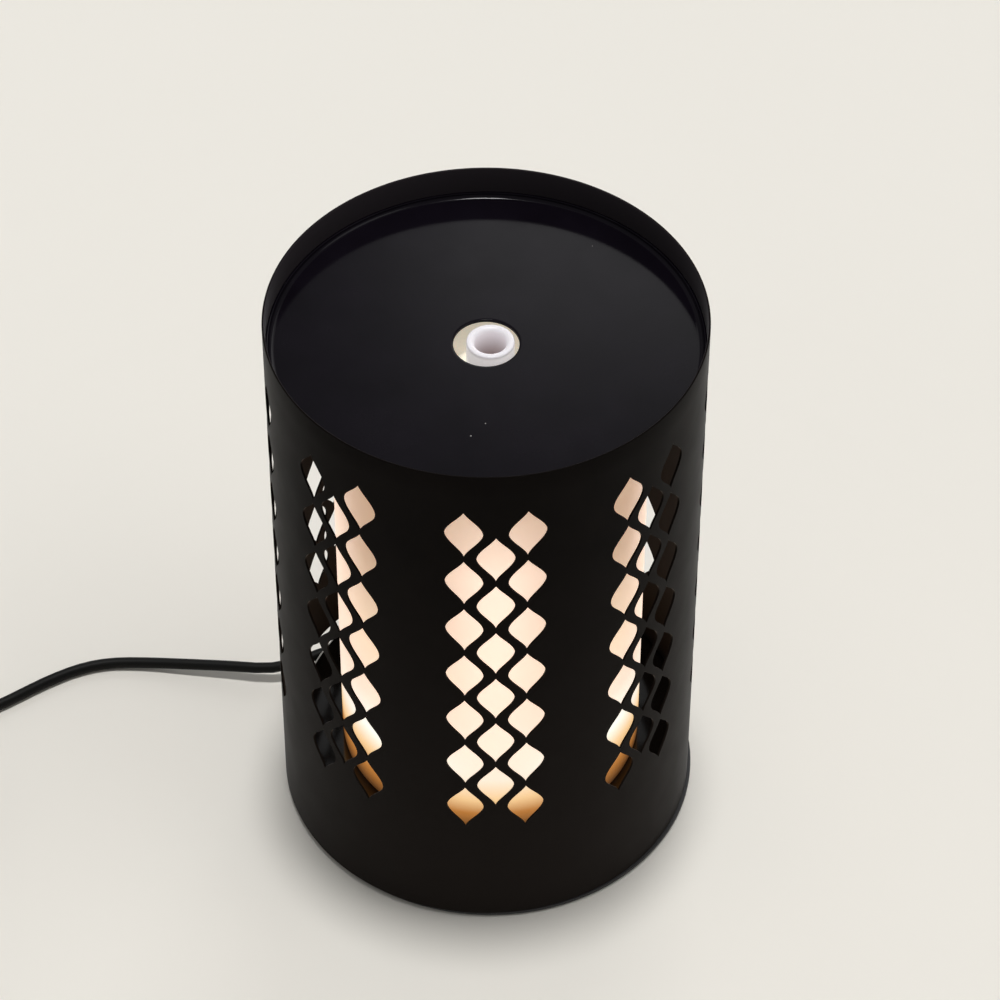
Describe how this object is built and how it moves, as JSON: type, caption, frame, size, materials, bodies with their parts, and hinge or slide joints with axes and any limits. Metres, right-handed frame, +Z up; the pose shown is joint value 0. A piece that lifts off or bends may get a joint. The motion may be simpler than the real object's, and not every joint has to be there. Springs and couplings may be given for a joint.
{
  "type": "fragrance lamp",
  "caption": "Ultrasonic fragrance lamp: black perforated metal cylinder over a translucent glowing dome, recessed top with a round mist nozzle, glossy base, rear buttons and DC cord.",
  "frame": {"origin": "centre of the object's footprint, on the surface that the feet stand on", "axes": "+Z up along the axis of the column, the plain front faces -Y and the cord leaves at +Y"},
  "size_m": [0.2608, 0.2064, 0.1826],
  "materials": {
    "cover_paint": "matte fine powder coat",
    "dome_plastic": "translucent satin",
    "nozzle_plastic": "satin",
    "base_plastic": "gloss",
    "plate_plastic": "matte",
    "foot_rubber": "matte",
    "tank_plastic": "translucent satin",
    "seal_rubber": "matte silicone",
    "piezo_steel": "satin",
    "screw_steel": "zinc plated",
    "board_green": "solder mask",
    "led_resin": "clear",
    "fan_plastic": "matte",
    "bearing_bronze": "oiled",
    "chip_black": "matte",
    "connector_white": "matte",
    "capacitor_blue": "gloss",
    "copper_coil": "enamelled wire",
    "lead_red": "matte",
    "magnet_dark": "matte",
    "button_plastic": "satin",
    "cord_black": "matte",
    "adapter_plastic": "matte",
    "prong_brass": "nickel plated",
    "plug_tip": "polished"
  },
  "bodies": {
    "base": {"bottom_plate": "plate_plastic", "rubber_feet": "foot_rubber", "bottom_screws": "screw_steel", "base_housing": "base_plastic", "water_tank": "tank_plastic", "tank_screws": "screw_steel", "transducer_seal": "seal_rubber", "transducer_disc": "piezo_steel", "transducer_retainer": "screw_steel", "retainer_screws": "screw_steel", "led_board": "board_green", "leds": "led_resin", "led_board_screws": "screw_steel", "fan_frame": "fan_plastic", "fan_bearing": "bearing_bronze", "fan_stator": "copper_coil", "fan_screws": "screw_steel", "air_guide": "plate_plastic", "main_board": "board_green", "board_screws": "screw_steel", "board_chips": "chip_black", "board_capacitors": "capacitor_blue", "driver_coil": "copper_coil", "board_connectors": "connector_white", "dc_jack": "chip_black", "fan_lead": "lead_red", "transducer_lead": "lead_red", "led_lead": "lead_red", "switch_bodies": "chip_black", "dc_plug": "cord_black", "plug_relief": "cord_black", "power_cord": "cord_black", "cord_coil": "cord_black", "cord_tail": "cord_black", "cord_tie": "cord_black", "adapter_lower_shell": "adapter_plastic", "adapter_upper_shell": "adapter_plastic", "adapter_circuit": "board_green", "adapter_prongs": "prong_brass", "adapter_relief": "adapter_plastic"},
    "cover": {"cover_tube": "cover_paint", "cover_top_disc": "cover_paint"},
    "dome": {"light_dome": "dome_plastic", "mist_nozzle": "nozzle_plastic"},
    "fan_wheel": {"fan_rotor": "fan_plastic", "fan_magnet": "magnet_dark", "fan_shaft": "screw_steel"},
    "mist_key": {"mist_button": "button_plastic", "mist_switch_plunger": "connector_white"},
    "light_key": {"light_button": "button_plastic", "light_switch_plunger": "connector_white"}
  },
  "joints": [
    {"name": "cover_lift", "type": "slide", "parent": "base", "child": "cover", "axis": [0, 0, 1], "range_m": [0, 0.18]},
    {"name": "dome_lift", "type": "slide", "parent": "base", "child": "dome", "axis": [0, 0, 1], "range_m": [0, 0.09]},
    {"name": "fan_spin", "type": "hinge", "parent": "base", "child": "fan_wheel", "pos_m": [0, -0.024, 0.008], "axis": [0, 0, 1], "continuous": true},
    {"name": "mist_press", "type": "slide", "parent": "base", "child": "mist_key", "axis": [-0.342, -0.9397, 0], "range_m": [0, 0.0006], "stiffness_N_per_m": 400},
    {"name": "light_press", "type": "slide", "parent": "base", "child": "light_key", "axis": [0.342, -0.9397, 0], "range_m": [0, 0.0006], "stiffness_N_per_m": 400}
  ],
  "couplings": [
    {"joint": "dome_lift", "follows": "cover_lift", "ratio": 0.5}
  ]
}
